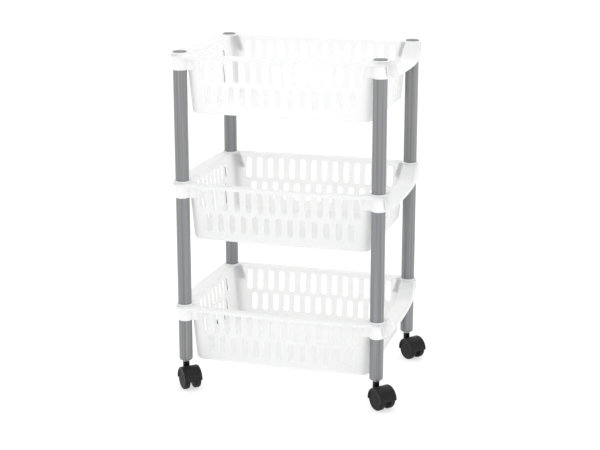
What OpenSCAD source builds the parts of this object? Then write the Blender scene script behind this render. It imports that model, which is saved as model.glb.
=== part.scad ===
// Three-tier rolling trolley: slotted baskets on push-fit tubes, four hooded
// twin-wheel casters. Millimetres, +Z up. The origin is on the floor, midway
// between the four posts; -Y is the front, +X is the side with the hand scoops.

/* [Frame] */
// Distance between the post axes along X
post_pitch_x = 363; // [300:1:420]
// Distance between the post axes along Y
post_pitch_y = 267; // [220:1:320]
// Height of the bottom basket's rim above the floor
bottom_rim_z = 160; // [150:1:200]
// Height from one basket's rim to the next
tier_pitch = 232.5; // [200:0.5:260]
// Outer diameter of the tubes
tube_d = 25; // [24:0.5:26]
// Wall thickness of the tubes
tube_wall = 1.6; // [1.2:0.1:2]
// Height of the closed foot of each leg above the floor
leg_foot_z = 50; // [46:1:56]

/* [Baskets] */
// Outside depth of a basket, from its rim down
basket_h = 111; // [105:1:111]
// Thickness of the basket walls
wall_t = 2.5; // [2:0.1:3]
// Thickness of the basket floor
floor_t = 3; // [2:0.5:4]
// Distance that each wall leans in from rim to floor
draft_in = 10; // [6:0.5:12]
// Height of the rim's outer lip
lip_h = 7; // [5:0.5:9]
// Distance that the long sides bow outward at their middle
side_bow = 5; // [0:0.5:6]
// Distance that the short sides of the rim bow outward at their middle
end_bow = 5; // [0:0.5:6]
// Depth of the corner collars below the rim
collar_h = 31.5; // [26:0.5:34]

/* [Slots] */
// Spacing of the slots in the long walls
long_slot_pitch = 22; // [20:0.5:23]
// Spacing of the slots in the short walls
short_slot_pitch = 21; // [19:0.5:22]
// Width of a slot
slot_w = 10.5; // [8:0.5:12]
// Number of upper slots in a long wall
long_slots = 14; // [10:2:14]
// Number of upper slots in a short wall
short_slots = 8; // [6:2:8]

/* [Hand scoop] */
// Depth of the scoop in the rim of the +X side
scoop_depth = 29.5; // [10:0.5:31]
// Half length of the scoop's flat bottom
scoop_flat = 68; // [30:0.5:72]
// Half length of the whole scoop
scoop_reach = 111; // [80:0.5:111]

/* [Casters] */
// Wheel diameter
wheel_d = 40; // [38:0.5:40]
// Width of one wheel
wheel_w = 10.5; // [9:0.5:10.5]
// Distance from the swivel axis back to the axle
caster_trail = 19; // [18.5:0.5:20]
// Heading of the front left caster's trail, in degrees from +X
heading_fl = -49; // [-180:1:180]
// Heading of the front right caster's trail
heading_fr = -41; // [-180:1:180]
// Heading of the back left caster's trail
heading_bl = 137; // [-180:1:180]
// Heading of the back right caster's trail
heading_br = -40; // [-180:1:180]

/* [Hidden] */
$fn = 64;
// Overlap of joined solids, and overshoot of cutting ones
eps = 0.01;
over = 5;

white = "#f2f3f3";
grey = "#8c8e91";
black = "#1d1d1f";
steel = "#b9bcc0";
cap_grey = "#96989b";

// Corners: sign of X, sign of Y and heading of the caster
FL = [-1, -1, heading_fl];
FR = [1, -1, heading_fr];
BL = [-1, 1, heading_bl];
BR = [1, 1, heading_br];
CORNERS = [FL, FR, BL, BR];

post_x = post_pitch_x / 2;
post_y = post_pitch_y / 2;
rim_z = [bottom_rim_z, bottom_rim_z + tier_pitch, bottom_rim_z + 2 * tier_pitch];

// Tubes and their push fits
tube_r = tube_d / 2;
tube_bore_r = tube_r - tube_wall;
push_gap = 0.1;
spigot_r = tube_bore_r - push_gap;
spigot_bore_r = spigot_r - tube_wall;
spigot_up = 14;
shoulder_t = 2;

// Rim: corner and pad radii, plate thickness and the fall from the pads
rim_r = tube_r + 4.5;
pad_r = rim_r - 1.5;
rim_x = post_x + rim_r;
rim_drop = 1.5;
rim_t = 2.5;
bow_steps = 10;

// Basket walls: cones at the corners joined by leaning flat walls
wall_top_r = 26;
corner_x = post_x - 6 - wall_top_r;
corner_y = post_y + 4 - wall_top_r;
edge_chamfer = 7;
edge_run = 6;
slope = draft_in / basket_h;
wall_low_r = wall_top_r - slope * (basket_h - edge_chamfer);
wall_floor_r = wall_low_r - edge_run;
// The flat walls stand this much inside the corner cones, so that the two cross cleanly
seam = 0.05;

// Collars, their pads and webs
collar_r = tube_r + 0.4;
collar_bore_r = spigot_r + push_gap;
web_t = 2.5;
web_reach = 22;
web_top_reach = 20;
web_low_reach = 29;

// Skirt: depth in the middle, rise at its ends and how far from the middle it ends
skirt_h = 35;
skirt_rise = 8;
skirt_reach = post_y + rim_r / 2;
skirt_steps = 12;

// Slot rows: top and bottom, measured down from the rim
long_rows = [[11, 51], [58.5, 92]];
short_rows = [[11, 41], [48, 92]];

// Hand scoop curve
scoop_steps = 12;

// Caps and foot bushes, with the clearance of their plugs
cap_t = 2;
cap_r = tube_r - 0.3;
cap_bevel = 0.8;
cap_plug_h = 12;
bush_round = 3.2;
bush_h = 2 * bush_round;
bush_plug_h = 18;
bush_clear = 0.5;

// Casters: the hood is a rounded drum, hollowed for the wheels but for thin side lips
wheel_r = wheel_d / 2;
wheel_gap = 5.5;
hood_r = wheel_r + 2.2;
hood_bore_r = wheel_r + 0.8;
hood_half_w = wheel_gap + wheel_w + 1.3;
hood_round = 4;
hood_side_t = 1.2;
hood_face_r = hood_bore_r - 3.3;
web_half = wheel_gap - 1;
axle_r = 2.5;
wheel_bore_r = axle_r + 0.05;
stem_r = 4;
neck_bore_r = stem_r + 0.05;
neck_r = 6.2;
neck_top_z = leg_foot_z - 3.8;
neck_foot_z = wheel_r + 8;
stem_foot_z = neck_foot_z + 1;
stem_ring_r = 5.2;
stem_ring_z = neck_top_z + 0.3;
stem_ring_t = 2.6;
stem_in_bush = 14.5;
// Hood opening: its tilt, its edge's height from the axle and the boss left around the axle
hood_tilt = 4;
hood_open_y = -1.5;
boss_r = 10;
// Axle ends stay this far inside the hood
axle_in = 0.8;
// Wheel profile: inner and outer rounding, rim width, hub radius, depth of the outer recess
// and the number of steps in each rounding
tread_round = 2;
shoulder_round = 4.8;
wheel_rim = 6;
wheel_hub_r = 7;
wheel_recess = 0.8;
round_steps = 5;

// Height of the rim along the scooped side, at distance y from the middle
function ease(t) = t * t * (3 - 2 * t);
function scoop_z(y) =
    -rim_drop - scoop_depth *
    (1 - ease(min(1, max(0, (abs(y) - scoop_flat) / (scoop_reach - scoop_flat)))));
function scoop_ys() = concat(
    [for (i = [0 : scoop_steps]) -scoop_reach + (scoop_reach - scoop_flat) * i / scoop_steps],
    [for (i = [0 : scoop_steps]) scoop_flat + (scoop_reach - scoop_flat) * i / scoop_steps]
);
function reversed(list) = [for (i = [len(list) - 1 : -1 : 0]) list[i]];

module at_post(c) {
    translate([c[0] * post_x, c[1] * post_y, 0]) children();
}

module at_each_post() {
    for (c = CORNERS) at_post(c) children();
}

// A closed body with leaning walls. levels is a list of [corner radius, height].
module leaning_body(levels) {
    low = levels[0][1];
    high = levels[len(levels) - 1][1];
    right = [for (l = levels) [l[0], l[1]]];
    for (sx = [-1, 1])
        for (sy = [-1, 1])
            translate([sx * corner_x, sy * corner_y, 0])
                rotate_extrude() polygon(concat([[0, low]], right, [[0, high]]));
    rotate([90, 0, 0])
        translate([0, 0, -corner_y])
            linear_extrude(2 * corner_y)
                polygon(mirrored_profile(levels, corner_x));
    rotate([90, 0, 90])
        translate([0, 0, -corner_x])
            linear_extrude(2 * corner_x)
                polygon(mirrored_profile(levels, corner_y));
}

function mirrored_profile(levels, centre) = concat(
    [for (l = levels) [centre + l[0] - seam, l[1]]],
    [for (l = reversed(levels)) [seam - centre - l[0], l[1]]]
);

// The rim's outline as a solid from z0 up, drawn in by inset
module rim_body(inset, z0, h) {
    long_side = [for (i = [0 : bow_steps])
        let (t = 2 * i / bow_steps - 1)
        [post_x * t, post_y + rim_r - inset + side_bow * (1 - t * t)]];
    short_side = [for (i = [0 : bow_steps])
        let (t = 2 * i / bow_steps - 1)
        [rim_x - inset + end_bow * (1 - t * t), post_y * t]];
    translate([0, 0, z0]) {
        at_each_post() cylinder(r = rim_r - inset, h = h);
        linear_extrude(h) {
            polygon(concat(long_side, [for (p = reversed(long_side)) [p[0], -p[1]]]));
            polygon(concat(short_side, [for (p = reversed(short_side)) [-p[0], p[1]]]));
        }
    }
}

// What the hand scoop takes away, above its curve
module scoop_air(x0, x1) {
    curve = [for (y = scoop_ys()) [y, scoop_z(y)]];
    translate([x0, 0, 0])
        rotate([90, 0, 90])
            linear_extrude(x1 - x0)
                polygon(concat(curve, [[scoop_reach, over], [-scoop_reach, over]]));
}

module scoop_shelf() {
    curve = [for (y = scoop_ys()) [y, scoop_z(y)]];
    under = [for (p = reversed(curve)) [p[0], p[1] - rim_t]];
    translate([corner_x + wall_low_r, 0, 0])
        rotate([90, 0, 90])
            linear_extrude(rim_x + end_bow - corner_x - wall_low_r)
                polygon(concat(curve, under));
}

// Deep lip along the scooped end. Its lower edge rises towards the corners.
module skirt() {
    depth = skirt_h - rim_drop - rim_t;
    low = [for (i = [-skirt_steps : skirt_steps])
        let (t = i / skirt_steps)
        [skirt_reach * t, skirt_rise * pow(t, 4) - skirt_h]];
    intersection() {
        difference() {
            rim_body(0, -skirt_h, depth);
            rim_body(rim_t, -skirt_h - 1, depth + 2);
        }
        translate([post_x, 0, 0])
            rotate([90, 0, 90])
                linear_extrude(2 * rim_r)
                    polygon(concat(low, [[skirt_reach, 0], [-skirt_reach, 0]]));
    }
}

function web_outline(way) = [
    [0, -rim_drop],
    [way * web_top_reach, -rim_drop],
    [way * web_low_reach, -collar_h],
    [0, -collar_h]
];

module collars() {
    at_each_post() {
        translate([0, 0, -collar_h]) cylinder(r = collar_r, h = collar_h - rim_drop);
        translate([0, 0, -rim_drop - rim_t]) cylinder(r = pad_r, h = rim_drop + rim_t);
    }
    for (c = CORNERS)
        at_post(c) {
            rotate([90, 0, 0])
                translate([0, 0, -web_t / 2])
                    linear_extrude(web_t) polygon(web_outline(-c[0]));
            translate([-web_t / 2, c[1] > 0 ? -web_reach : 0, -collar_h])
                cube([web_t, web_reach, collar_h - rim_drop]);
        }
}

module slot_row(count, pitch, row, x0, x1) {
    for (i = [0 : count - 1])
        translate([x0, (i - (count - 1) / 2) * pitch - slot_w / 2, -row[1]])
            cube([x1 - x0, slot_w, row[1] - row[0]]);
}

module wall_slots() {
    reach = rim_x + over + side_bow;
    rotate([0, 0, 90]) {
        slot_row(long_slots, long_slot_pitch, long_rows[0], -reach, reach);
        slot_row(long_slots - 1, long_slot_pitch, long_rows[1], -reach, reach);
    }
    slot_row(short_slots, short_slot_pitch, short_rows[0], -corner_x - wall_top_r - 1, -corner_x);
    slot_row(short_slots - 1, short_slot_pitch, short_rows[1], -reach, reach);
}

// One basket, its rim pads at z = 0
module basket() {
    outside = [
        [wall_floor_r, -basket_h],
        [wall_low_r, -basket_h + edge_chamfer],
        [wall_top_r, -rim_drop]
    ];
    inside = [
        [wall_floor_r - 1, -basket_h + floor_t],
        [wall_low_r - wall_t, -basket_h + edge_chamfer + 1],
        [wall_top_r - wall_t, -rim_drop],
        [wall_top_r - wall_t + over * slope, over - rim_drop]
    ];
    color(white)
        difference() {
            union() {
                leaning_body(outside);
                difference() {
                    rim_body(0, -rim_drop - lip_h, lip_h);
                    rim_body(rim_t, -rim_drop - lip_h - 1, lip_h + 1 - rim_t);
                }
                difference() {
                    skirt();
                    scoop_air(rim_x - 2 * over, rim_x + 2 * over);
                }
                collars();
            }
            leaning_body(inside);
            at_each_post()
                translate([0, 0, -collar_h - 1]) cylinder(r = collar_bore_r, h = collar_h + over);
            scoop_air(corner_x, rim_x + 2 * over);
            wall_slots();
        }
}

module basket_with_shelf(z) {
    color(white)
        translate([0, 0, z])
            union() {
                basket();
                intersection() {
                    difference() {
                        scoop_shelf();
                        leaning_body([
                            [wall_low_r - wall_t, -basket_h],
                            [wall_top_r - wall_t, -rim_drop],
                            [wall_top_r - wall_t, over]
                        ]);
                    }
                    rim_body(0, -basket_h, basket_h);
                }
            }
}

// A tube that stands on z0 and whose spigot passes up through the collar below z1
module post(z0, z1) {
    top = z1 - collar_h;
    color(grey)
        difference() {
            union() {
                translate([0, 0, z0]) cylinder(r = tube_r, h = top - z0);
                translate([0, 0, top - eps]) cylinder(r = spigot_r, h = z1 - top + spigot_up + eps);
            }
            translate([0, 0, z0 - 1]) cylinder(r = tube_bore_r, h = top - z0 - shoulder_t + 1);
            translate([0, 0, z0]) cylinder(r = spigot_bore_r, h = z1 - z0 + spigot_up + 1);
        }
}

// The top tube's spigot stops level with the basket's pad, under the cap
module top_post(z0, z1) {
    difference() {
        post(z0, z1);
        translate([0, 0, z1]) cylinder(r = tube_d, h = spigot_up + over);
    }
}

module cap() {
    color(cap_grey)
        translate([0, 0, rim_z[2]]) {
            translate([0, 0, -cap_plug_h])
                cylinder(r = spigot_bore_r - push_gap, h = cap_plug_h + eps);
            cylinder(r = cap_r, h = cap_t - cap_bevel);
            translate([0, 0, cap_t - cap_bevel])
                cylinder(r1 = cap_r, r2 = cap_r - cap_bevel, h = cap_bevel);
        }
}

// Closed foot of a leg, plugged into the tube, with a blind hole for the stem
module foot_bush() {
    color(grey)
        translate([0, 0, leg_foot_z])
            difference() {
                union() {
                    rotate_extrude()
                        difference() {
                            union() {
                                square([tube_r - bush_round, bush_h]);
                                translate([0, bush_round]) square([tube_r, bush_h - bush_round]);
                                translate([tube_r - bush_round, bush_round]) circle(r = bush_round);
                            }
                            translate([-tube_d, -1]) square([tube_d, bush_h + 2]);
                        }
                    translate([0, 0, bush_h - eps])
                        cylinder(r = tube_bore_r - push_gap, h = bush_plug_h);
                }
                translate([0, 0, -over]) cylinder(r = stem_r, h = stem_in_bush + bush_clear + over);
            }
}

module leg() {
    post(leg_foot_z + bush_h, rim_z[0]);
}

module caster_stem() {
    color(steel) {
        translate([0, 0, stem_foot_z])
            cylinder(r = stem_r, h = leg_foot_z + stem_in_bush - stem_foot_z);
        translate([0, 0, stem_ring_z]) cylinder(r = stem_ring_r, h = stem_ring_t);
    }
}

// Places a caster piece: local +X is the trail, local Y is the axle
module at_axle(c) {
    at_post(c)
        rotate([0, 0, c[2]])
            translate([caster_trail, 0, wheel_r])
                rotate([90, 0, 0])
                    children();
}

// Points on an arc about [x, y] from one angle to another
function arc(x, y, r, from, to) = [for (i = [0 : round_steps])
    let (a = from + (to - from) * i / round_steps)
    [x + r * cos(a), y + r * sin(a)]];

// The hood before it is hollowed: a drum with rounded shoulders
module hood_drum() {
    x = hood_r - hood_round;
    y = hood_half_w - hood_round;
    rotate_extrude()
        polygon(concat(
            [[0, -hood_half_w]],
            arc(x, -y, hood_round, -90, 0),
            arc(x, y, hood_round, 0, 90),
            [[0, hood_half_w]]
        ));
}

// Room for one wheel, open at the hood's side
module wheel_room() {
    inner = hood_round - hood_r + hood_bore_r;
    side = hood_half_w - hood_side_t;
    rotate_extrude()
        polygon(concat(
            [[0, web_half], [hood_bore_r, web_half]],
            arc(hood_bore_r - inner, side - inner, inner, 0, 90),
            [[hood_face_r, side], [hood_face_r, side + 2], [0, side + 2]]
        ));
}

module caster_hood(c) {
    color(black)
        difference() {
            union() {
                at_axle(c) hood_drum();
                at_post(c)
                    translate([0, 0, neck_foot_z - 1])
                        cylinder(r = neck_r, h = neck_top_z - neck_foot_z + 1);
            }
            at_axle(c) {
                wheel_room();
                rotate([180, 0, 0]) wheel_room();
            }
            at_axle(c)
                translate([0, 0, -hood_half_w - 1]) cylinder(r = axle_r, h = 2 * hood_half_w + 2);
            at_post(c)
                translate([0, 0, neck_foot_z]) cylinder(r = neck_bore_r, h = neck_top_z);
            at_axle(c) hood_open_side();
        }
}

// Everything below the hood's lower edge, which drops a little towards the back
module hood_open_side() {
    rotate([0, 0, hood_tilt])
        difference() {
            translate([-2 * hood_r, -2 * hood_r, -hood_half_w - 1])
                cube([4 * hood_r, 2 * hood_r + hood_open_y, 2 * hood_half_w + 2]);
            translate([0, 0, -web_half]) cylinder(r = boss_r, h = 2 * web_half);
        }
}

module axle(c) {
    color(steel)
        at_axle(c)
            translate([0, 0, axle_in - hood_half_w])
                cylinder(r = axle_r, h = 2 * (hood_half_w - axle_in));
}

// Wheel profile: a tread rounded most at its outer shoulder, a recessed outer face and a hub
module wheel(c, side) {
    color(black)
        at_axle(c)
            rotate([side > 0 ? 0 : 180, 0, 0])
                translate([0, 0, wheel_gap])
                    rotate_extrude()
                        polygon(concat(
                            [[wheel_bore_r, 0]],
                            arc(wheel_r - tread_round, tread_round, tread_round, -90, 0),
                            arc(
                                wheel_r - shoulder_round, wheel_w - shoulder_round,
                                shoulder_round, 0, 90
                            ),
                            [
                                [wheel_r - wheel_rim, wheel_w],
                                [wheel_r - wheel_rim - 1, wheel_w - wheel_recess],
                                [wheel_hub_r, wheel_w - wheel_recess],
                                [wheel_hub_r - 1, wheel_w],
                                [wheel_bore_r, wheel_w]
                            ]
                        ));
}

basket_with_shelf(rim_z[2]);  // basket_top
basket_with_shelf(rim_z[1]);  // basket_middle
basket_with_shelf(rim_z[0]);  // basket_bottom
at_post(FL) top_post(rim_z[1], rim_z[2]);  // post_upper_fl
at_post(FR) top_post(rim_z[1], rim_z[2]);  // post_upper_fr
at_post(BL) top_post(rim_z[1], rim_z[2]);  // post_upper_bl
at_post(BR) top_post(rim_z[1], rim_z[2]);  // post_upper_br
at_post(FL) post(rim_z[0], rim_z[1]);  // post_middle_fl
at_post(FR) post(rim_z[0], rim_z[1]);  // post_middle_fr
at_post(BL) post(rim_z[0], rim_z[1]);  // post_middle_bl
at_post(BR) post(rim_z[0], rim_z[1]);  // post_middle_br
at_post(FL) leg();  // leg_fl
at_post(FR) leg();  // leg_fr
at_post(BL) leg();  // leg_bl
at_post(BR) leg();  // leg_br
at_post(FL) cap();  // cap_fl
at_post(FR) cap();  // cap_fr
at_post(BL) cap();  // cap_bl
at_post(BR) cap();  // cap_br
at_post(FL) foot_bush();  // foot_bush_fl
at_post(FR) foot_bush();  // foot_bush_fr
at_post(BL) foot_bush();  // foot_bush_bl
at_post(BR) foot_bush();  // foot_bush_br
at_post(FL) caster_stem();  // caster_stem_fl
at_post(FR) caster_stem();  // caster_stem_fr
at_post(BL) caster_stem();  // caster_stem_bl
at_post(BR) caster_stem();  // caster_stem_br
caster_hood(FL);  // caster_hood_fl
caster_hood(FR);  // caster_hood_fr
caster_hood(BL);  // caster_hood_bl
caster_hood(BR);  // caster_hood_br
axle(FL);  // axle_fl
axle(FR);  // axle_fr
axle(BL);  // axle_bl
axle(BR);  // axle_br
wheel(FL, 1);  // wheel_a_fl
wheel(FR, 1);  // wheel_a_fr
wheel(BL, 1);  // wheel_a_bl
wheel(BR, 1);  // wheel_a_br
wheel(FL, -1);  // wheel_b_fl
wheel(FR, -1);  // wheel_b_fr
wheel(BL, -1);  // wheel_b_bl
wheel(BR, -1);  // wheel_b_br
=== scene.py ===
# Looks of the basket trolley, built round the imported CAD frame. Metres, +Z up, -Y the
# front, +X the end with the hand scoops. Shapes are worked out in millimetres and scaled
# when their mesh is made.

import math

import bmesh
import bpy
from mathutils import Matrix, Vector


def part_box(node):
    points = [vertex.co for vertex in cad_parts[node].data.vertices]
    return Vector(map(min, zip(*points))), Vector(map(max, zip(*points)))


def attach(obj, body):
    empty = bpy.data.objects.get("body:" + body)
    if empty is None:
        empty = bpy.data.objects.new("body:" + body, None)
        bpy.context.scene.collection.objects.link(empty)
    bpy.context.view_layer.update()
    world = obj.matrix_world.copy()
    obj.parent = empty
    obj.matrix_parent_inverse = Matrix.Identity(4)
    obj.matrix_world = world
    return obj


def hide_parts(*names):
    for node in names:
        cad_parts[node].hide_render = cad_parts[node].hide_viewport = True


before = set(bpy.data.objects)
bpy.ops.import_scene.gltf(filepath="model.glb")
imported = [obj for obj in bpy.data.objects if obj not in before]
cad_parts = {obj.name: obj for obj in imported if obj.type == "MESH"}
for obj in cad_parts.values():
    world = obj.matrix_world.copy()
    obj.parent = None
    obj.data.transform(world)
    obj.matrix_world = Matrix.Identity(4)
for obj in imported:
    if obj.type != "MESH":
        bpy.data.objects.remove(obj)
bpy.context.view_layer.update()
scene = bpy.context.scene

MM = 0.001
CORNERS = {"fl": (-1, -1), "fr": (1, -1), "bl": (-1, 1), "br": (1, 1)}
TIERS = ("bottom", "middle", "top")


# ---------------------------------------------------------------- sizes from the frame
def box_mm(node):
    """The lowest and highest corners of a CAD node, in mm."""
    low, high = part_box(node)
    return Vector(low) / MM, Vector(high) / MM


def middle_mm(node):
    low, high = box_mm(node)
    return (low + high) / 2


leg_low, leg_high = box_mm("leg_fr")
TUBE_R = (leg_high.x - leg_low.x) / 2
POST_X = middle_mm("leg_fr").x
POST_Y = middle_mm("leg_br").y
RIM_Z = {tier: box_mm(f"basket_{tier}")[1].z for tier in TIERS}
BASKET_H = RIM_Z["top"] - box_mm("basket_top")[0].z
BUSH_Z = box_mm("foot_bush_fr")[0].z
BUSH_TOP = leg_low.z
WHEEL_R = middle_mm("wheel_a_fr").z

# ---------------------------------------------------------------- design values, mm
# Walls: outside radius at the rim, lean, thickness and rounding of the bottom edge
WALL_R = 26
WALL_T = 2.5
SLOPE = 10 / BASKET_H
FLOOR_ROUND = 8
CORNER_X = POST_X - 6 - WALL_R
CORNER_Y = POST_Y + 4 - WALL_R

# Rim: corner radius about a post, fall below the pads, lip and skirt heights
RIM_R = TUBE_R + 4.5
RIM_DROP = 1.5
LIP_H = 7
SKIRT_H = 35
SKIRT_RISE = 8
SKIRT_REACH = POST_Y + RIM_R / 2
BEND_R = 0.5
SIDE_BOW = 5
END_BOW = 5
FRONT_DIP = 1.5

# Hand scoop in the rim at +X
SCOOP_DEPTH = 29.5
SCOOP_FLAT = 68
SCOOP_REACH = 111

# Slots: pitch, count and rows as (top, bottom) below the rim. Each slot sits in a cell of
# the sheet, which reaches CELL_MARGIN past it and is CELL_WIDE by CELL_TALL faces
LONG_PITCH = 22
LONG_COUNT = 14
LONG_ROWS = ((11, 51), (58.5, 92))
SHORT_PITCH = 21
SHORT_COUNT = 8
SHORT_ROWS = ((11, 41), (48, 92))
SLOT_HALF = 5.25
SLOT_ROUND = 4.5
CELL_MARGIN = 2.5
CELL_WIDE = 8
CELL_TALL = 6

# Floor: how far in from its edge each ring of points lies
FLOOR_INSETS = (4, 14, 40)

# Tubes, collars and pads, with webs from each collar along the two walls by it
TUBE_WALL = 1.6
PUSH_GAP = 0.1
TUBE_BORE = TUBE_R - TUBE_WALL
SPIGOT_R = TUBE_BORE - PUSH_GAP
SPIGOT_BORE = SPIGOT_R - TUBE_WALL
SHOULDER = 2
COLLAR_H = 31.5
COLLAR_R = TUBE_R + 0.4
COLLAR_BORE = SPIGOT_R + PUSH_GAP
PAD_R = RIM_R - 1.5
PAD_LAP = 0.5
WEB_T = 2.5
WEB_TOP_REACH = 20
WEB_LOW_REACH = 29
SIDE_WEB_REACH = 22

# Caps, foot bushes and caster stems
CAP_R = TUBE_R - 0.3
BUSH_ROUND = 3.2
BUSH_SOCKET = 15
STEM_R = 4
STEM_RING_R = 5.2
STEM_RING_T = 2.6
STEM_RING_GAP = 0.3

# Wheels and axles
WHEEL_GAP = 5.5
WHEEL_W = 10.5
WHEEL_RIM = 6
WHEEL_HUB_R = 7.8
WHEEL_GROOVE = 0.4
SHOULDER_ROUND = 4.8
AXLE_R = 2.5
AXLE_IN = 1.2
RUN_GAP = 0.05

# Hoods: a rounded drum with thin side lips, from HOOD_FROM to HOOD_TO about the axle
HOOD_R = WHEEL_R + 2.2
HOOD_BORE = WHEEL_R + 0.8
HOOD_HALF_W = 17.3
HOOD_ROUND = 4
HOOD_SIDE_T = 1.2
HOOD_FACE_R = HOOD_BORE - 3.3
HOOD_FROM = 0
HOOD_TO = math.radians(188)
HOOD_STEPS = 48
WEB_HALF = 4.5
WEB_SINK = 0.6
BOSS_R = 10
BOSS_BLEND = 0.6
BOSS_STEPS = 16
NECK_R = 6.2
NECK_GAP = 3.8
NECK_FOOT = WHEEL_R + 8
NECK_TOP = BUSH_Z - NECK_GAP


# ---------------------------------------------------------------- mesh helpers
def ease(t):
    """0 to 1 with a gentle start and end, for t from 0 to 1."""
    t = min(1, max(0, t))
    return t * t * (3 - 2 * t)


def mix(a, b, t):
    """The value a fraction t of the way from a to b."""
    return a + (b - a) * t


def rounded(corners, steps=4):
    """A closed outline from (x, y, corner radius) points, with arcs at the corners."""
    outline = []
    count = len(corners)
    for i, (x, y, radius) in enumerate(corners):
        here = Vector((x, y))
        if not radius:
            outline.append(here)
            continue
        back = Vector(corners[i - 1][:2]) - here
        ahead = Vector(corners[(i + 1) % count][:2]) - here
        half = back.angle(ahead) / 2
        reach = min(radius / math.tan(half), 0.49 * min(back.length, ahead.length))
        back.normalize()
        ahead.normalize()
        centre = here + (back + ahead).normalized() * reach / math.cos(half)
        first = here + back * reach - centre
        sweep = first.angle_signed(here + ahead * reach - centre)
        for k in range(steps + 1):
            turn = -sweep * k / steps
            c, s = math.cos(turn), math.sin(turn)
            outline.append(centre + Vector((c * first.x - s * first.y, s * first.x + c * first.y)))
    return outline


def skin(bm, rings, wrap_rings=False):
    """Quads between successive closed rings of vertices."""
    pairs = list(zip(rings, rings[1:]))
    if wrap_rings:
        pairs.append((rings[-1], rings[0]))
    for a, b in pairs:
        count = len(a)
        for i in range(count):
            j = (i + 1) % count
            bm.faces.new((a[i], a[j], b[j], b[i]))


def lathe(bm, outline, place=Matrix(), segments=72):
    """The closed solid that a closed (radius, height) outline sweeps about Z."""
    rings = []
    for k in range(segments):
        turn = 2 * math.pi * k / segments
        c, s = math.cos(turn), math.sin(turn)
        rings.append([bm.verts.new(place @ Vector((r * c, r * s, z))) for r, z in outline])
    skin(bm, rings, wrap_rings=True)
    bmesh.ops.remove_doubles(bm, verts=[v for ring in rings for v in ring], dist=1e-4)


def prism(bm, outline, low, high, place=Matrix()):
    """An outline in X and Y as a closed solid from low to high."""
    rings = [
        [bm.verts.new(place @ Vector((p[0], p[1], z))) for p in outline] for z in (low, high)
    ]
    skin(bm, rings)
    bm.faces.new(rings[0][::-1])
    bm.faces.new(rings[1])


def piece(name, bm, material, body, nodes, bevel=0.0, solid=0.0):
    """Makes the mesh, in mm so far, into a piece that stands for the given CAD nodes."""
    bmesh.ops.scale(bm, vec=(MM, MM, MM), verts=bm.verts)
    if not solid:
        bmesh.ops.recalc_face_normals(bm, faces=bm.faces)
    mesh = bpy.data.meshes.new(name)
    bm.to_mesh(mesh)
    bm.free()
    mesh.shade_smooth()
    mesh.materials.append(material)
    obj = bpy.data.objects.new(name, mesh)
    scene.collection.objects.link(obj)
    if solid:
        shell = obj.modifiers.new("Wall", "SOLIDIFY")
        shell.thickness = solid * MM
        shell.offset = -1
        shell.use_even_offset = True
    if bevel:
        edge = obj.modifiers.new("Edges", "BEVEL")
        edge.width = bevel * MM
        edge.segments = 2
        edge.limit_method = "ANGLE"
        edge.angle_limit = math.radians(42)
    weights = obj.modifiers.new("Normals", "WEIGHTED_NORMAL")
    weights.keep_sharp = True
    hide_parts(*nodes)
    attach(obj, body)
    return obj


# ---------------------------------------------------------------- materials
class Paint:
    """A Principled material with short ways to add texture nodes."""

    def __init__(self, name, slot, **sockets):
        self.material = bpy.data.materials.new(name)
        self.material.use_nodes = True
        self.material["slot"] = slot
        self.nodes = self.material.node_tree.nodes
        self.links = self.material.node_tree.links
        self.shader = self.nodes["Principled BSDF"]
        for socket, value in sockets.items():
            self.shader.inputs[socket.replace("_", " ")].default_value = value
        self.where = self.nodes.new("ShaderNodeTexCoord").outputs["Object"]

    def noise(self, scale, detail=3.0, stretch=(1, 1, 1)):
        place = self.nodes.new("ShaderNodeMapping")
        place.inputs["Scale"].default_value = stretch
        self.links.new(self.where, place.inputs["Vector"])
        noise = self.nodes.new("ShaderNodeTexNoise")
        noise.inputs["Scale"].default_value = scale
        noise.inputs["Detail"].default_value = detail
        self.links.new(place.outputs["Vector"], noise.inputs["Vector"])
        return noise.outputs["Fac"]

    def between(self, source, low, high, start=0.3, end=0.7):
        """A colour ramp from low to high, each a grey or a colour."""
        ramp = self.nodes.new("ShaderNodeValToRGB")
        for stop, place, value in zip(ramp.color_ramp.elements, (start, end), (low, high)):
            stop.position = place
            stop.color = (*value, 1) if isinstance(value, tuple) else (value, value, value, 1)
        self.links.new(source, ramp.inputs["Fac"])
        return ramp.outputs["Color"]

    def set(self, socket, source):
        self.links.new(source, self.shader.inputs[socket])

    def bump(self, source, depth_mm, strength=1.0):
        bump = self.nodes.new("ShaderNodeBump")
        bump.inputs["Distance"].default_value = depth_mm * MM
        bump.inputs["Strength"].default_value = strength
        self.links.new(source, bump.inputs["Height"])
        if self.shader.inputs["Normal"].links:
            self.links.new(self.shader.inputs["Normal"].links[0].from_socket, bump.inputs["Normal"])
        self.links.new(bump.outputs["Normal"], self.shader.inputs["Normal"])


def white_plastic(name, glow):
    """Moulded polypropylene: slight sink waves, fine orange peel and patchy gloss."""
    paint = Paint(name, "basket", IOR=1.49, Subsurface_Weight=glow, Subsurface_Scale=0.015)
    paint.shader.inputs["Subsurface Radius"].default_value = (1.0, 1.0, 0.95)
    clouds = paint.noise(9)
    paint.set("Base Color", paint.between(clouds, (0.955, 0.96, 0.955), (0.975, 0.975, 0.97)))
    paint.set("Roughness", paint.between(paint.noise(60), 0.36, 0.5))
    paint.bump(paint.noise(35, 2), 0.12, 0.5)
    paint.bump(paint.noise(900), 0.03, 0.5)
    return paint.material


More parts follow.
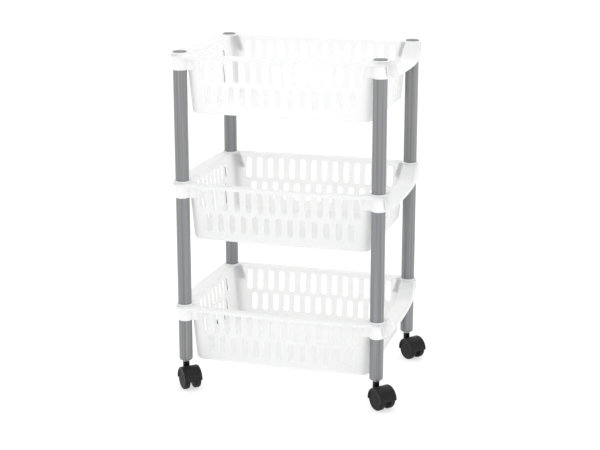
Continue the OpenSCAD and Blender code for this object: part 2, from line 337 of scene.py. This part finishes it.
def grey_tube():
    """Extruded satin grey with painted light and dark streaks along the tube, standing in for
    reflections of the soft lights; the same streaks give a faint bump.
    """
    paint = Paint("grey_tube", "tube", IOR=1.5)
    # Painted reflection: light and dark streaks along the tube, put into the base colour
    painted_streaks = paint.noise(300, 3, stretch=(1, 1, 0.008))
    paint.set("Base Color", paint.between(painted_streaks, (0.19, 0.196, 0.20), (0.29, 0.295, 0.31), 0.36, 0.64))
    paint.set("Roughness", paint.between(paint.noise(40, 3, stretch=(1, 1, 0.1)), 0.27, 0.33))
    paint.bump(painted_streaks, 0.02, 0.6)
    paint.bump(paint.noise(1100), 0.004, 0.3)
    return paint.material


def grey_cap():
    paint = Paint("grey_cap", "cap", IOR=1.5)
    paint.set("Base Color", paint.between(paint.noise(250), (0.24, 0.245, 0.25), (0.28, 0.285, 0.29)))
    paint.set("Roughness", paint.between(paint.noise(90), 0.45, 0.6))
    paint.bump(paint.noise(1500), 0.02, 0.5)
    return paint.material


def zinc():
    """Turned, zinc-plated steel with fine rings."""
    paint = Paint("zinc", "steel", Metallic=1.0)
    rings = paint.noise(300, 4, stretch=(0.05, 0.05, 6))
    paint.set("Base Color", paint.between(rings, (0.5, 0.51, 0.53), (0.62, 0.63, 0.65)))
    paint.set("Roughness", paint.between(rings, 0.22, 0.38))
    paint.bump(rings, 0.01, 0.5)
    return paint.material


def black_hood():
    """Semi-gloss black nylon with a fine moulded grain."""
    paint = Paint("black_hood", "hood", IOR=1.5, Specular_IOR_Level=0.3)
    paint.set("Base Color", paint.between(paint.noise(120), 0.003, 0.007))
    paint.set("Roughness", paint.between(paint.noise(200), 0.3, 0.46))
    paint.bump(paint.noise(1600), 0.02, 0.6)
    return paint.material


def black_wheel():
    """Matt black nylon, a little greyer where dust and scuffs gather."""
    paint = Paint("black_wheel", "wheel", IOR=1.5, Specular_IOR_Level=0.3)
    scuffs = paint.noise(260, 8)
    paint.set("Base Color", paint.between(scuffs, 0.003, 0.009, 0.45, 0.75))
    paint.set("Roughness", paint.between(scuffs, 0.42, 0.68))
    paint.bump(paint.noise(1300), 0.03, 0.6)
    return paint.material


WHITE = white_plastic("white_plastic", 0.9)
THICK_WHITE = white_plastic("thick_white_plastic", 0.08)
TUBE = grey_tube()
CAP = grey_cap()
STEEL = zinc()
HOOD = black_hood()
WHEEL = black_wheel()


# ---------------------------------------------------------------- basket
class Station:
    """One upright line of the basket's sheet: where it meets the wall and the rim."""

    def __init__(self, side, along, wall, rim, out, turn=0.0):
        self.side = side
        self.along = along
        self.wall = Vector(wall)
        self.rim = Vector(rim)
        self.out = Vector(out)
        self.turn = turn

    def on_rim(self, inset):
        bow = 0
        if self.side in ("front", "back"):
            bow = SIDE_BOW * (1 - (self.rim.x / POST_X) ** 2)
        if self.side in ("left", "right"):
            bow = END_BOW * (1 - (self.rim.y / POST_Y) ** 2)
        return self.rim + self.out * (RIM_R - inset + bow)


def wall_radius(depth):
    """Radius of a wall corner's outside, which shrinks downwards as the walls lean in."""
    return WALL_R - SLOPE * (depth - RIM_DROP)


def wall_bow(side, along):
    """How far a long wall bulges out at a distance along it."""
    if side in ("front", "back"):
        return SIDE_BOW * (1 - (along / CORNER_X) ** 2) ** 2
    return 0


SIDES = {"front": (0, -1), "right": (1, 0), "back": (0, 1), "left": (-1, 0)}


def side_point(side, along, depth, radius=None):
    """A point on the outside of a wall, at a distance along it and a depth below the rim."""
    out = Vector(SIDES[side])
    r = (wall_radius(depth) if radius is None else radius) + wall_bow(side, along)
    if out.x:
        return Vector((out.x * (CORNER_X + r), along, -depth))
    return Vector((along, out.y * (CORNER_Y + r), -depth))


def scoop(x, y):
    """How far the hand scoop lowers the rim at a place."""
    if x < 0:
        return 0
    return SCOOP_DEPTH * (1 - ease((abs(y) - SCOOP_FLAT) / (SCOOP_REACH - SCOOP_FLAT)))


def dip(x, y):
    """How far the front rim sinks between its posts."""
    return FRONT_DIP * max(0, 1 - (x / POST_X) ** 2) if y < 0 else 0


def spread(step, count, extra, end):
    """Places along a wall: a regular grid, then extra steps out to the wall's end."""
    grid = [step * k for k in range(-count, count + 1)]
    tail = [mix(step * count, end, (k + 1) / extra) for k in range(extra)]
    return [-t for t in reversed(tail)] + grid + tail


def stretched(v, inner, wall_end, rim_end):
    """The rim is longer than the wall: the difference is taken up beyond inner."""
    if abs(v) <= inner:
        return v
    return math.copysign(mix(inner, rim_end, (abs(v) - inner) / (wall_end - inner)), v)


# The sheet's upright lines: regular ones each side of a wall's middle, more out to its end,
# and how far out the rim's points still stand over the wall's
LONG_STEP = LONG_PITCH / CELL_WIDE
SHORT_STEP = SHORT_PITCH / CELL_WIDE
LONG_GRID, LONG_EXTRA = 52, 4
SHORT_GRID, SHORT_EXTRA = 32, 5
LONG_INNER = 6 * LONG_PITCH
SHORT_INNER = 4.5 * SHORT_PITCH
ARC_STEPS = 12


def stations():
    """The upright lines all round the basket: front, right, back, left, with the corners."""
    found = []
    long_places = spread(LONG_STEP, LONG_GRID, LONG_EXTRA, CORNER_X)
    short_places = spread(SHORT_STEP, SHORT_GRID, SHORT_EXTRA, CORNER_Y)
    order = (("front", 1, -90), ("right", 1, 0), ("back", -1, 90), ("left", -1, 180))
    for side, way, start in order:
        out = SIDES[side]
        for along in (long_places if side in ("front", "back") else short_places):
            v = along * way
            if side in ("front", "back"):
                wall = (v, out[1] * CORNER_Y)
                rim = (stretched(v, LONG_INNER, CORNER_X, POST_X), out[1] * POST_Y)
            else:
                wall = (out[0] * CORNER_X, v)
                rim = (out[0] * POST_X, stretched(v, SHORT_INNER, CORNER_Y, POST_Y))
            found.append(Station(side, v, wall, rim, out))
        sx = 1 if side in ("front", "right") else -1
        sy = 1 if side in ("right", "back") else -1
        for k in range(1, ARC_STEPS):
            angle = math.radians(start + 90 * k / ARC_STEPS)
            turn = k / ARC_STEPS
            found.append(Station(
                "corner_" + side, 0, (sx * CORNER_X, sy * CORNER_Y), (sx * POST_X, sy * POST_Y),
                (math.cos(angle), math.sin(angle)), turn,
            ))
    return found


def cell_levels(row):
    """Depths of the level lines across the cells of a row of slots."""
    top, bottom = row[0] - CELL_MARGIN, row[1] + CELL_MARGIN
    return [top, top + 4, top + 8, (top + bottom) / 2, bottom - 8, bottom - 4, bottom]


LONG_LEVELS = cell_levels(LONG_ROWS[0]) + cell_levels(LONG_ROWS[1])
SHORT_LEVELS = cell_levels(SHORT_ROWS[0]) + cell_levels(SHORT_ROWS[1])
PLATE_DEPTH = RIM_DROP + WALL_T
LOWER_CELLS = CELL_TALL + 1


def levels(st):
    """Depths of the sheet's level lines at a station, from the plate down."""
    if st.side in ("front", "back"):
        found = list(LONG_LEVELS)
    elif st.side in ("left", "right"):
        found = list(SHORT_LEVELS)
    else:
        towards_short = st.turn if st.side in ("corner_front", "corner_back") else 1 - st.turn
        found = [mix(a, b, towards_short) for a, b in zip(LONG_LEVELS, SHORT_LEVELS)]
    at = st.wall + st.out * WALL_R
    top = PLATE_DEPTH + BEND_R + scoop(at.x, at.y) + dip(at.x, at.y)
    if st.side == "right":
        first, last = PLATE_DEPTH + BEND_R, found[LOWER_CELLS]
        found[:LOWER_CELLS] = [
            mix(top, last, (d - first) / (last - first)) for d in found[:LOWER_CELLS]
        ]
    return [top] + found


def wall_xy(st, depth):
    if st.side in SIDES:
        return side_point(st.side, st.along, depth).xy
    return st.wall + st.out * wall_radius(depth)


def skirt_depth(st):
    """Depth of the lip's lower edge: deep along the scooped end, rising to its corners."""
    lip = RIM_DROP + LIP_H
    at = st.on_rim(0)
    past = {"right": 0, "corner_front": 1 - st.turn, "corner_right": st.turn}.get(st.side, 1)
    if past == 1:
        return lip + dip(at.x, at.y)
    deep = SKIRT_H - SKIRT_RISE * (min(abs(at.y), SKIRT_REACH) / SKIRT_REACH) ** 4
    return mix(deep, lip, ease((past - 0.3) * 8))


PLATE_STEPS = 3
BEND_STEPS = 3
FILLET_STEPS = 6


def bend(centre_xy, out, centre_depth, start, end):
    """Points of a small arc in the upright plane through out, from start to end degrees."""
    found = []
    for k in range(BEND_STEPS + 1):
        a = math.radians(mix(start, end, k / BEND_STEPS))
        xy = centre_xy + out * BEND_R * math.cos(a)
        found.append(Vector((xy.x, xy.y, -centre_depth + BEND_R * math.sin(a))))
    return found


def column(st):
    """The sheet's points at a station: lip bottom, plate underside, wall, bottom rounding."""
    inner = st.on_rim(WALL_T)
    sag = scoop(inner.x, inner.y) + dip(inner.x, inner.y)
    rim_plate = PLATE_DEPTH + (sag if st.side in SIDES else 0)
    bottom = skirt_depth(st)
    lip_top = rim_plate + BEND_R
    points = [Vector((inner.x, inner.y, -mix(bottom, lip_top, k / 2))) for k in range(2)]
    points += bend(inner - st.out * BEND_R, st.out, lip_top, 0, 90)
    depths = levels(st)
    edge = wall_xy(st, depths[0]) + st.out * BEND_R
    plate_start, plate_end = inner - st.out * BEND_R, edge
    for k in range(1, PLATE_STEPS):
        xy = plate_start.lerp(plate_end, k / PLATE_STEPS)
        wave = scoop(xy.x, xy.y) if st.side == "right" else 0
        points.append(Vector((xy.x, xy.y, -PLATE_DEPTH - wave - dip(xy.x, xy.y))))
    points += bend(edge, st.out, depths[0], 90, 180)[:-1]
    for depth in depths:
        xy = wall_xy(st, depth)
        points.append(Vector((xy.x, xy.y, -depth)))
    lean = math.hypot(1, SLOPE)
    centre_depth = BASKET_H - FLOOR_ROUND
    centre_r = wall_radius(centre_depth) - FLOOR_ROUND * lean
    start = -math.atan(SLOPE)
    for k in range(FILLET_STEPS + 1):
        a = mix(start, -math.pi / 2, k / FILLET_STEPS)
        r = centre_r + FLOOR_ROUND * math.cos(a)
        depth = centre_depth - FLOOR_ROUND * math.sin(a)
        if st.side in SIDES:
            points.append(side_point(st.side, st.along, depth, r))
        else:
            xy = st.wall + st.out * r
            points.append(Vector((xy.x, xy.y, -depth)))
    return points


FIRST_LEVEL = 2 + (BEND_STEPS + 1) + (PLATE_STEPS - 1) + BEND_STEPS


def slot_ring(half_length):
    """28 points (along, down) of a slot about its middle, matched to its cell's edge."""
    flat = SLOT_HALF - SLOT_ROUND

    def arc(side, angles):
        return [
            (side * (flat + SLOT_ROUND * math.sin(math.radians(a))),
             SLOT_ROUND * (1 - math.cos(math.radians(a))) - half_length)
            for a in angles
        ]

    top = arc(-1, (45, 30, 15, 0)) + [(0, -half_length)] + arc(1, (0, 15, 30, 45))
    side = arc(1, (67.5, 90))
    half = top + side + [(SLOT_HALF, 0)] + [(u, -d) for u, d in reversed(side)]
    return half + [(-u, -d) for u, d in half]


def slot_rows():
    """Each row of slots: its wall, pitch, count, (top, bottom) and first level line."""
    found = []
    for side in SIDES:
        long_side = side in ("front", "back")
        pitch = LONG_PITCH if long_side else SHORT_PITCH
        count = LONG_COUNT if long_side else SHORT_COUNT
        upper, lower = LONG_ROWS if long_side else SHORT_ROWS
        if side != "right":
            found.append((side, pitch, count, upper, FIRST_LEVEL + 1))
        found.append((side, pitch, count - 1, lower, FIRST_LEVEL + 1 + LOWER_CELLS))
    return found


def cell_edge(i, j):
    """The sheet's points round a cell, from its first corner (i, j)."""
    return (
        [(i + n, j) for n in range(CELL_WIDE + 1)]
        + [(i + CELL_WIDE, j + n) for n in range(1, CELL_TALL + 1)]
        + [(i + n, j + CELL_TALL) for n in range(CELL_WIDE - 1, -1, -1)]
        + [(i, j + n) for n in range(CELL_TALL - 1, 0, -1)]
    )


def basket_mesh():
    """The basket's sheet, one face thick: lip, plate, slotted walls and floor."""
    bm = bmesh.new()
    line = stations()
    count = len(line)
    grid = [column(st) for st in line]
    deepest = len(grid[0]) - 1
    made = {}

    def vert(i, j):
        i %= count
        if (i, j) not in made:
            made[i, j] = bm.verts.new(grid[i][j])
        return made[i, j]

    index = {(st.side, round(st.along, 3)): i for i, st in enumerate(line) if st.side in SIDES}
    taken = set()
    for side, pitch, slots, (top, bottom), level in slot_rows():
        way = 1 if side in ("front", "right") else -1
        middle, half = (top + bottom) / 2, (bottom - top) / 2
        for k in range(slots):
            centre = (k - (slots - 1) / 2) * pitch
            i0 = index[side, round(centre, 3)] - CELL_WIDE // 2
            edge = cell_edge(i0, level)
            taken |= {(i0 + n, level + m) for n in range(CELL_WIDE) for m in range(CELL_TALL)}
            hole = [
                bm.verts.new(side_point(side, centre + way * u, middle + d))
                for u, d in slot_ring(half)
            ]
            for n in range(len(edge)):
                m = (n + 1) % len(edge)
                bm.faces.new((vert(*edge[n]), hole[n], hole[m], vert(*edge[m])))

    for i in range(count):
        for j in range(deepest):
            if (i, j) not in taken:
                bm.faces.new((vert(i, j), vert(i, j + 1), vert(i + 1, j + 1), vert(i + 1, j)))
    fill_floor(bm, [vert(i, deepest) for i in range(count)])
    return bm


def fill_floor(bm, loop):
    """The basket's flat closed floor, with every face turned down to its outside."""
    half_x = max(v.co.x for v in loop)
    half_y = max(v.co.y for v in loop)
    known = len(bm.faces)
    rings = [loop]
    for inset in FLOOR_INSETS:
        x, y = 1 - inset / half_x, 1 - inset / half_y
        rings.append([bm.verts.new((v.co.x * x, v.co.y * y, v.co.z)) for v in loop])
    skin(bm, rings)
    bm.faces.new(rings[-1])
    bm.faces.ensure_lookup_table()
    for face in bm.faces[known:]:
        face.normal_update()
        if face.normal.z > 0:
            face.normal_flip()


def at_corner(corner):
    sx, sy = CORNERS[corner]
    return Matrix.Translation((sx * POST_X, sy * POST_Y, 0))


def add_web(bm, corner, way, top_reach, low_reach):
    """A plate under the rim, from a collar's wall out along way."""
    top = -PLATE_DEPTH + PAD_LAP
    start = COLLAR_BORE + 0.6
    outline = ((start, top), (top_reach, top), (low_reach, -COLLAR_H), (start, -COLLAR_H))
    sx, sy = CORNERS[corner]
    place = Matrix((
        (way[0], 0, abs(way[1]), sx * POST_X),
        (way[1], 0, abs(way[0]), sy * POST_Y),
        (0, 1, 0, 0),
        (0, 0, 0, 1),
    ))
    prism(bm, outline, -WEB_T / 2, WEB_T / 2, place)


def collar_mesh():
    """Pads, collars and webs of one basket."""
    bm = bmesh.new()
    pad_low = -PLATE_DEPTH + PAD_LAP
    outline = rounded([
        (COLLAR_BORE, -COLLAR_H, 0.4), (COLLAR_R, -COLLAR_H, 0.6), (COLLAR_R, pad_low, 0),
        (PAD_R, pad_low, 0), (PAD_R, -RIM_DROP, 0), (PAD_R - 0.6, 0, 0.7), (COLLAR_BORE, 0, 0.3),
    ])
    for corner, (sx, sy) in CORNERS.items():
        lathe(bm, outline, at_corner(corner))
        add_web(bm, corner, (-sx, 0), WEB_TOP_REACH, WEB_LOW_REACH)
        add_web(bm, corner, (0, -sy), SIDE_WEB_REACH, SIDE_WEB_REACH)
    return bm


def add_baskets():
    shell = basket_mesh()
    for tier in TIERS:
        lift = Matrix.Translation((0, 0, RIM_Z[tier]))
        body = shell.copy()
        body.transform(lift)
        piece(f"basket_{tier}_shell", body, WHITE, "frame", [f"basket_{tier}"],
              bevel=0.7, solid=WALL_T)
        trim = collar_mesh()
        trim.transform(lift)
        piece(f"basket_{tier}_collars", trim, THICK_WHITE, "frame", [f"basket_{tier}"], bevel=0.4)
    shell.free()


# ---------------------------------------------------------------- tubes and their ends
def tube_outline(low, rim, top):
    """A tube from low up to the collar under rim, with its spigot up to top."""
    shoulder = rim - COLLAR_H
    return rounded([
        (TUBE_BORE, low, 0.3), (TUBE_R, low, 0.5), (TUBE_R, shoulder, 0.5),
        (SPIGOT_R, shoulder, 0), (SPIGOT_R, top, 0.8), (SPIGOT_BORE, top, 0.3),
        (SPIGOT_BORE, shoulder - SHOULDER, 0), (TUBE_BORE, shoulder - SHOULDER, 0),
    ])


def add_tubes():
    runs = {"leg": "bottom", "post_middle": "middle", "post_upper": "top"}
    for corner in CORNERS:
        for kind, tier in runs.items():
            node = f"{kind}_{corner}"
            low, high = box_mm(node)
            bm = bmesh.new()
            lathe(bm, tube_outline(low.z, RIM_Z[tier], high.z), at_corner(corner))
            piece(f"{node}_tube", bm, TUBE, "frame", [node])


def add_caps():
    plug_r = SPIGOT_BORE - PUSH_GAP
    pad = RIM_Z["top"]
    for corner in CORNERS:
        node = f"cap_{corner}"
        low, high = box_mm(node)
        bm = bmesh.new()
        lathe(bm, rounded([
            (0, low.z, 0), (plug_r, low.z, 0.5), (plug_r, pad, 0), (CAP_R, pad, 0.2),
            (CAP_R, high.z - 0.4, 0.5), (CAP_R - 1.4, high.z, 1.5), (0, high.z, 0),
        ]), at_corner(corner))
        piece(f"{node}_disc", bm, CAP, "frame", [node])


def add_bushes():
    plug_r = TUBE_BORE - PUSH_GAP
    for corner in CORNERS:
        node = f"foot_bush_{corner}"
        low, high = box_mm(node)
        socket = low.z + BUSH_SOCKET
        bm = bmesh.new()
        lathe(bm, rounded([
            (STEM_R, low.z, 0.4), (TUBE_R, low.z, BUSH_ROUND), (TUBE_R, BUSH_TOP, 0.3),
            (plug_r, BUSH_TOP, 0), (plug_r, high.z, 0.8), (0, high.z, 0), (0, socket, 0),
            (STEM_R, socket, 0),
        ]), at_corner(corner))
        piece(f"{node}_foot", bm, TUBE, "frame", [node])


def add_stems():
    ring = NECK_TOP + STEM_RING_GAP
    ring_top = ring + STEM_RING_T
    for corner in CORNERS:
        node = f"caster_stem_{corner}"
        low, high = box_mm(node)
        bm = bmesh.new()
        lathe(bm, rounded([
            (0, low.z, 0), (STEM_R, low.z, 0.6), (STEM_R, ring, 0), (STEM_RING_R, ring, 0.5),
            (STEM_RING_R, ring_top, 0.5), (STEM_R, ring_top, 0), (STEM_R, high.z, 0.8),
            (0, high.z, 0),
        ]), at_corner(corner), segments=48)
        piece(f"{node}_pin", bm, STEEL, "frame", [node])


# ---------------------------------------------------------------- casters
def caster_frame(corner):
    """Local X is the trail, local Y is up and local Z is the axle."""
    sx, sy = CORNERS[corner]
    post = Vector((sx * POST_X, sy * POST_Y, 0))
    hub = middle_mm(f"axle_{corner}")
    trail = Vector((*(hub - post).xy, 0)).normalized()
    up = Vector((0, 0, 1))
    axle = trail.cross(up)
    return Matrix((
        (trail.x, up.x, axle.x, hub.x),
        (trail.y, up.y, axle.y, hub.y),
        (trail.z, up.z, axle.z, hub.z),
        (0, 0, 0, 1),
    ))


def hood_shell(bm, place):
    """The curved cover: a band with rounded shoulders and side lips, swept round the axle."""
    inner_half_w = HOOD_HALF_W - HOOD_SIDE_T
    inner_round = HOOD_ROUND - HOOD_R + HOOD_BORE
    band = rounded([
        (-HOOD_HALF_W, HOOD_FACE_R, 0.4), (-HOOD_HALF_W, HOOD_R, HOOD_ROUND),
        (HOOD_HALF_W, HOOD_R, HOOD_ROUND), (HOOD_HALF_W, HOOD_FACE_R, 0.4),
        (inner_half_w, HOOD_FACE_R, 0.4), (inner_half_w, HOOD_BORE, inner_round),
        (-inner_half_w, HOOD_BORE, inner_round), (-inner_half_w, HOOD_FACE_R, 0.4),
    ], steps=6)
    rings = []
    for k in range(HOOD_STEPS + 1):
        a = mix(HOOD_FROM, HOOD_TO, k / HOOD_STEPS)
        rings.append([
            bm.verts.new(place @ Vector((r * math.cos(a), r * math.sin(a), w))) for w, r in band
        ])
    skin(bm, rings)
    bm.faces.new(rings[0])
    bm.faces.new(rings[-1][::-1])


def arc_points(radius, start, end, steps):
    turns = (mix(start, end, k / steps) for k in range(steps + 1))
    return [(radius * math.cos(a), radius * math.sin(a)) for a in turns]


def hood_web(bm, place):
    """The plate between the wheels, with the boss round the axle."""
    cover = arc_points(HOOD_BORE + WEB_SINK, HOOD_FROM, HOOD_TO, HOOD_STEPS)
    end = 2 * math.pi + HOOD_FROM - BOSS_BLEND
    boss = arc_points(BOSS_R, HOOD_TO + BOSS_BLEND, end, BOSS_STEPS)
    prism(bm, cover + boss, -WEB_HALF, WEB_HALF, place)


def add_hoods():
    bore = STEM_R + RUN_GAP
    neck = rounded([
        (bore, NECK_FOOT, 0), (NECK_R, NECK_FOOT, 0), (NECK_R, NECK_TOP, 0.8), (bore, NECK_TOP, 0.3),
    ])
    for corner in CORNERS:
        node = f"caster_hood_{corner}"
        place = caster_frame(corner)
        bm = bmesh.new()
        hood_shell(bm, place)
        hood_web(bm, place)
        lathe(bm, neck, at_corner(corner), segments=48)
        piece(f"{node}_cover", bm, HOOD, f"caster_{corner}", [node], bevel=0.4)


def add_axles():
    end = WHEEL_GAP + WHEEL_W - AXLE_IN
    outline = rounded([(0, -end, 0), (AXLE_R, -end, 0.7), (AXLE_R, end, 0.7), (0, end, 0)])
    for corner in CORNERS:
        node = f"axle_{corner}"
        bm = bmesh.new()
        lathe(bm, outline, caster_frame(corner), segments=32)
        piece(f"{node}_pin", bm, STEEL, f"caster_{corner}", [node])


def wheel_outline():
    """Well-rounded outer shoulder and an outer face with a shallow ring round a closed hub."""
    bore = AXLE_R + RUN_GAP
    rim_r = WHEEL_R - WHEEL_RIM
    groove = WHEEL_W - WHEEL_GROOVE
    return rounded([
        (bore, 0, 0.2), (WHEEL_R, 0, 2), (WHEEL_R, WHEEL_W, SHOULDER_ROUND),
        (rim_r, WHEEL_W, 0.5), (rim_r - 1, groove, 0.5), (WHEEL_HUB_R, groove, 0.5),
        (WHEEL_HUB_R - 1.2, WHEEL_W, 0.8), (0, WHEEL_W + 0.2, 0), (0, WHEEL_W - 1, 0),
        (bore, WHEEL_W - 1, 0),
    ], steps=7)


def add_wheels():
    outline = wheel_outline()
    for corner in CORNERS:
        hub = middle_mm(f"axle_{corner}")
        for letter in "ab":
            node = f"wheel_{letter}_{corner}"
            place = caster_frame(corner)
            axle = place.col[2].xyz
            side = 1 if (middle_mm(node) - hub).dot(axle) > 0 else -1
            flip = Matrix.Diagonal((1, 1, side, 1))
            bm = bmesh.new()
            lathe(bm, outline, place @ flip @ Matrix.Translation((0, 0, WHEEL_GAP)), segments=96)
            piece(f"{node}_tread", bm, WHEEL, f"roller_{letter}_{corner}", [node])


# ---------------------------------------------------------------- studio
FLOOR_HALF = 40
FLOOR_GREY = 0.55
FLOOR_GLOW = 0.6
SKY_STRENGTH = 0.88
WHITE_LIGHT = (1, 1, 1, 1)


def add_floor():
    mesh = bpy.data.meshes.new("studio_floor")
    h = FLOOR_HALF
    mesh.from_pydata([(-h, -h, 0), (h, -h, 0), (h, h, 0), (-h, h, 0)], [], [(0, 1, 2, 3)])
    floor = bpy.data.objects.new("studio_floor", mesh)
    scene.collection.objects.link(floor)
    paint = bpy.data.materials.new("pale_floor")
    paint.use_nodes = True
    shader = paint.node_tree.nodes["Principled BSDF"]
    shader.inputs["Base Color"].default_value = (FLOOR_GREY, FLOOR_GREY, FLOOR_GREY, 1)
    shader.inputs["Roughness"].default_value = 0.9
    shader.inputs["Specular IOR Level"].default_value = 0.1
    shader.inputs["Emission Color"].default_value = WHITE_LIGHT
    shader.inputs["Emission Strength"].default_value = FLOOR_GLOW
    mesh.materials.append(paint)


def area_light(name, place, aim, size, power):
    data = bpy.data.lights.new(name, "AREA")
    data.shape = "RECTANGLE"
    data.size, data.size_y = size
    data.energy = power
    light = bpy.data.objects.new(name, data)
    light.location = place
    light.rotation_euler = (Vector(aim) - Vector(place)).to_track_quat("-Z", "Y").to_euler()
    scene.collection.objects.link(light)


def add_studio():
    scene.view_settings.view_transform = "Standard"
    world = bpy.data.worlds.new("studio")
    world.use_nodes = True
    sky = world.node_tree.nodes["Background"]
    sky.inputs["Color"].default_value = WHITE_LIGHT
    sky.inputs["Strength"].default_value = SKY_STRENGTH
    scene.world = world
    aim = (0, 0, 0.33)
    area_light("right", (2.0, -1.4, 1.0), aim, (0.3, 1.6), 3)
    area_light("left", (-1.75, -1.9, 1.1), aim, (0.3, 1.6), 1.5)
    area_light("top", (0, 0.3, 2.4), aim, (2.2, 2.2), 8)


# The camera stands in front and a little to the right, above the trolley, looking down
CAMERA_TURN = 0.2824
CAMERA_FALL = 0.243
CAMERA_PLACE = (0.6819, -2.3474, 0.9517)
CAMERA_SHIFT = -0.05
LENS = 80.85


def add_camera():
    data = bpy.data.cameras.new("camera")
    data.lens = LENS
    data.shift_y = CAMERA_SHIFT
    data.clip_end = 200
    camera = bpy.data.objects.new("camera", data)
    camera.location = CAMERA_PLACE
    camera.rotation_euler = (math.pi / 2 - CAMERA_FALL, 0, CAMERA_TURN)
    scene.collection.objects.link(camera)
    scene.camera = camera


add_camera()
add_studio()
add_floor()
add_baskets()
add_tubes()
add_caps()
add_bushes()
add_stems()
add_hoods()
add_axles()
add_wheels()
